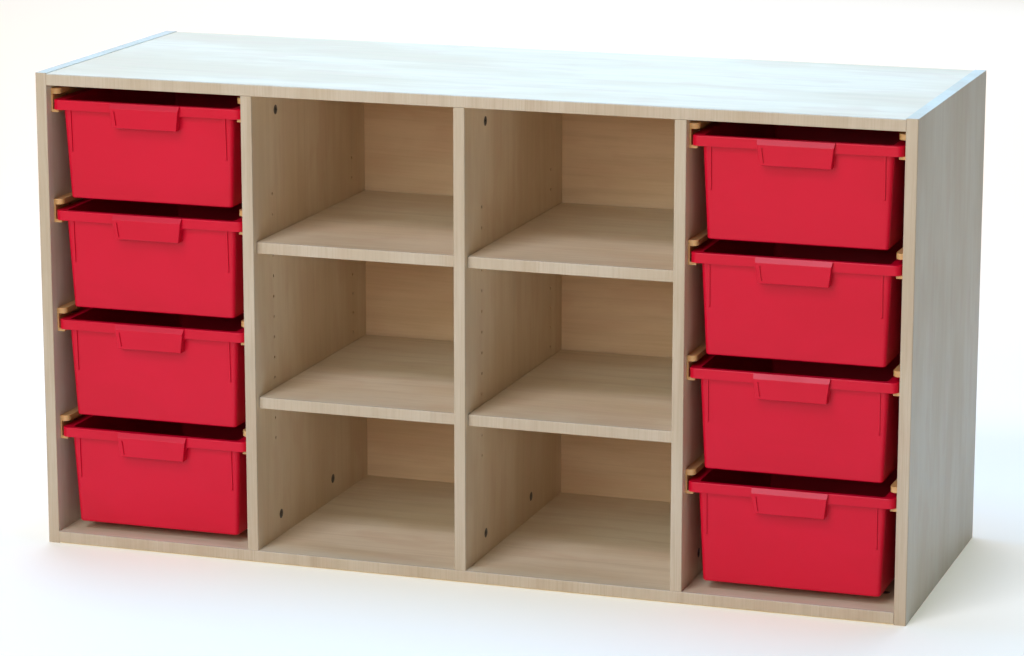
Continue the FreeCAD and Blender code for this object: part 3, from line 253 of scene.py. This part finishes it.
def tray_material():
    m = bpy.data.materials.new("tray_plastic_red")
    T = Tree(m)
    flow = T.noise(T.scaled(T.coord, (7, 7, 11)), 1.0, 3.0, 0.55, 0.8)[0]
    stipple = T.noise(T.scaled(T.coord, (1500, 1500, 1500)), 1.0, 2.0, 0.6)[0]
    orange = T.noise(T.scaled(T.coord, (260, 260, 260)), 1.0, 2.0, 0.5)[0]
    colour = T.mix(T.remap(flow, 0.3, 0.7, smooth=True), (0.575, 0.0010, 0.0225), (0.545, 0.0009, 0.0195))
    # scuffs from sliding in and out: hair-fine, along the depth of the tray
    scuff = T.noise(T.scaled(T.coord, (700, 18, 700), (1, 5, 2)), 1.0, 2.0, 0.6)[0]
    patch = T.noise(T.scaled(T.coord, (16, 16, 16), (7, 2, 4)), 1.0, 2.0, 0.5)[0]
    worn = T.math("MULTIPLY", T.remap(scuff, 0.64, 0.74, smooth=True), T.remap(patch, 0.52, 0.70, smooth=True))
    colour = T.mix(T.math("MULTIPLY", worn, 0.12), colour, (0.66, 0.03, 0.06))
    rough = T.math("ADD", T.remap(flow, 0.3, 0.7, 0.31, 0.37), T.math("MULTIPLY", worn, 0.12))
    height = T.math("ADD", T.math("MULTIPLY", stipple, 0.35), T.math("MULTIPLY", orange, 0.9))
    T.set(Base_Color=colour, Roughness=rough, Specular_IOR_Level=0.25)
    T.put(T.bsdf.inputs["Normal"], T.bump(height, 0.00005))
    return m


def runner_material():
    m = bpy.data.materials.new("runner_plastic_amber")
    T = Tree(m)
    flow = T.noise(T.scaled(T.coord, (40, 9, 40)), 1.0, 3.0, 0.55, 0.6)[0]
    fine = T.noise(T.scaled(T.coord, (1300, 1300, 1300)), 1.0, 2.0, 0.5)[0]
    colour = T.mix(T.remap(flow, 0.3, 0.7, smooth=True), (0.62, 0.350, 0.142), (0.54, 0.285, 0.102))
    rub = T.noise(T.scaled(T.coord, (800, 14, 800), (2, 2, 9)), 1.0, 2.0, 0.6)[0]
    colour = T.mix(T.math("MULTIPLY", T.remap(rub, 0.60, 0.75, smooth=True), 0.25), colour, (0.80, 0.55, 0.30))
    rough = T.remap(flow, 0.3, 0.7, 0.30, 0.42)
    T.set(Base_Color=colour, Roughness=rough, Specular_IOR_Level=0.5)
    T.set(Subsurface_Weight=0.25, Subsurface_Scale=0.004, Subsurface_Radius=(1.0, 0.5, 0.2))
    T.put(T.bsdf.inputs["Normal"], T.bump(fine, 0.00003))
    return m


def metal_material(name, light, dark, rough_lo, rough_hi, metallic=1.0, pitted=0.00004):
    m = bpy.data.materials.new(name)
    T = Tree(m)
    cast = T.noise(T.scaled(T.coord, (420, 420, 420)), 1.0, 3.0, 0.6)[0]
    tone_and_painted_light = T.noise(T.scaled(T.coord, (55, 55, 55), (3, 8, 1)), 1.0, 2.0, 0.5)[0]
    spots = T.voronoi(T.scaled(T.coord, (900, 900, 900)), 1.0)
    colour = T.mix(T.remap(tone_and_painted_light, 0.3, 0.7, smooth=True), light, dark)
    colour = T.mix(T.math("MULTIPLY", T.remap(T.xyz(spots["Color"])[0], 0.6, 1.0), 0.25), colour, dark)
    T.set(Base_Color=colour, Metallic=metallic, Roughness=T.remap(cast, 0.3, 0.7, rough_lo, rough_hi))
    T.put(T.bsdf.inputs["Normal"], T.bump(cast, pitted))
    return m


def dowel_material():
    m = bpy.data.materials.new("dowel_beech")
    T = Tree(m)
    p = grain_space(T, "x", 3.0)
    long = T.noise(T.scaled(p, (900, 900, 30)), 1.0, 2.0, 0.6)[0]
    fleck = T.noise(T.scaled(p, (1600, 1600, 260), (4, 0, 2)), 1.0, 1.0, 0.5)[0]
    colour = T.mix(T.remap(long, 0.35, 0.65, smooth=True), (0.66, 0.46, 0.28), (0.54, 0.35, 0.20))
    colour = T.mix(T.math("MULTIPLY", T.remap(fleck, 0.58, 0.70, smooth=True), 0.6), colour, (0.33, 0.19, 0.10))
    T.set(Base_Color=colour, Roughness=0.62, Specular_IOR_Level=0.35)
    T.put(T.bsdf.inputs["Normal"], T.bump(long, 0.00006))
    return m


def give(node, material):
    """Puts one material in every slot of a CAD node's object."""
    o = nodes[node]
    if not o.material_slots:
        o.data.materials.append(material)
    for s in o.material_slots:
        s.link = "OBJECT"
        s.material = material


ENDS = [("z", 0.0004, 0.7436)]
X_MID = {"side_panel_left": -0.676, "side_panel_right": 0.676, "divider_left": -0.338, "divider_middle": 0.0, "divider_right": 0.338}
Z_MID = {
    "bottom_panel": 0.010, "top_panel": 0.734,
    "shelf_left_lower": 0.2505, "shelf_right_lower": 0.2505, "shelf_left_upper": 0.492, "shelf_right_upper": 0.492,
}
# Painted light: the side panels are tinted cooler and darker, standing in for the cool light falling on the sides, and
# the dividers slightly less red, standing in for their shade; the laminate is the same as on the other boards.
for i, (name, x) in enumerate(X_MID.items()):
    tone_and_painted_light = (0.79, 0.925, 1.08) if name.startswith("side_") else (0.935, 0.985, 1.02)
    give(name, board_material("maple_" + name, "z", 1.0 + i, "x", x, 0.009, ENDS, 0.45, tone_and_painted_light))
# Painted light: the shelves and bottom panel are tinted bluer, standing in for the cool light from above the front; the
# top panel has no tint.
for i, (name, z) in enumerate(Z_MID.items()):
    give(name, board_material("maple_" + name, "x", 11.0 + i, "z", z, 0.009, [], *((0.5, None) if name == "top_panel" else (0.65, (0.985, 1.05, 1.095)))))
# Painted shade: the back panel is tinted warmer and darker, standing in for the warm, dim light deep in the bays.
give("back_panel", board_material("maple_back_panel", "x", 23.0, "y", 0.2292, 0.004, [], 0.6, (0.965, 0.905, 0.82)))
for i, name in enumerate(sorted(n for n in nodes if n.startswith("edging_"))):
    give(name, edging_material("maple_" + name, 31.0 + i))

red = tray_material()
amber = runner_material()
for name in nodes:
    if name.startswith("tray_"):
        give(name, red)
    elif name.startswith("runner_") and name != "runner_screws":
        give(name, amber)
give("cam_locks", metal_material("cam_zinc", (0.20, 0.20, 0.205), (0.09, 0.09, 0.095), 0.38, 0.60, 0.9))
give("cam_bolts", metal_material("bolt_steel", (0.62, 0.62, 0.64), (0.45, 0.45, 0.48), 0.22, 0.40))
give("runner_screws", metal_material("screw_steel", (0.66, 0.65, 0.62), (0.48, 0.47, 0.46), 0.20, 0.36))
give("shelf_pins", metal_material("pin_steel", (0.64, 0.64, 0.65), (0.50, 0.50, 0.52), 0.18, 0.34))
give("dowels", dowel_material())


# ----------------------------------------------------------------------- stage

bpy.ops.mesh.primitive_plane_add(size=1.0, location=(0, 0, 0))
floor = bpy.context.object
floor.name = "studio_floor"
floor.scale = (60, 60, 1)
m = bpy.data.materials.new("studio_floor")
T = Tree(m)
T.set(Base_Color=(0.87, 0.83, 0.79), Roughness=0.9, Specular_IOR_Level=0.1)
T.set(Emission_Color=(1.0, 0.80, 0.30), Emission_Strength=0.24)
floor.data.materials.append(m)

world = bpy.data.worlds.new("studio")
bpy.context.scene.world = world
world.use_nodes = True
background = world.node_tree.nodes.get("Background") or world.node_tree.nodes.new("ShaderNodeBackground")
background.inputs["Color"].default_value = (0.85, 0.93, 1.0, 1)
background.inputs["Strength"].default_value = 0.01


def area_light(name, at, look_at, size, power, colour=(1, 1, 1)):
    data = bpy.data.lights.new(name, "AREA")
    data.shape = "RECTANGLE"
    data.size, data.size_y = size
    data.energy = power
    data.color = colour
    o = bpy.data.objects.new(name, data)
    bpy.context.scene.collection.objects.link(o)
    at, look_at = Vector(at), Vector(look_at)
    o.location = at
    o.rotation_mode = "QUATERNION"
    o.rotation_quaternion = (look_at - at).to_track_quat("-Z", "Y")
    return o


area_light("overhead", (0.0, 0.12, 2.35), (0.0, 0.12, 0.7), (2.4, 1.1), 66, (0.24, 0.58, 1.0))
area_light("front_key", (-1.45, -5.5, 6.65), (0, 0, 0.4), (3.2, 1.4), 256, (0.86, 0.83, 0.99))
area_light("front_fill", (-1.3, -6.0, 3.0), (0, 0, 0.4), (5.0, 2.4), 232, (0.82, 0.96, 0.97))
area_light("front_level", (1.6, -6.3, 1.8), (0, 0, 0.4), (3.0, 0.9), 22, (0.95, 0.90, 0.85))
area_light("front_low", (0.0, -6.2, 0.85), (0, 0, 0.4), (5.0, 1.3), 22, (1.0, 0.45, 0.15))
area_light("rear_sweep", (-0.5, 6.9, 1.7), (-0.2, 0, 0.7), (9.0, 2.6), 110, (0.46, 0.72, 1.0))
area_light("backdrop_wash", (-1.6, 3.9, 4.6), (-1.6, 3.9, 0.0), (7.0, 3.4), 253, (1.0, 0.90, 0.92))

# The camera of the picture: 3510.7 pixels of focal length over 1024 pixels, centred
cam_data = bpy.data.cameras.new("camera")
cam_data.sensor_fit = "HORIZONTAL"
cam_data.sensor_width = 36.0
cam_data.lens = 3510.73 / 1024 * 36.0
cam_data.clip_start, cam_data.clip_end = 0.1, 200.0
camera = bpy.data.objects.new("camera", cam_data)
bpy.context.scene.collection.objects.link(camera)
right = Vector((0.947715, 0.319118, 0.000246))
down = Vector((0.070536, -0.208726, -0.975427))
ahead = Vector((-0.311225, 0.924444, -0.220322))
camera.matrix_world = Matrix.Translation((1.69836, -5.04396, 1.54383)) @ Matrix((right, -down, -ahead)).transposed().to_4x4()
bpy.context.scene.camera = camera

view = bpy.context.scene.view_settings
view.view_transform = "Standard"
view.look = "None"
view.exposure = 0.0
view.gamma = 1.0
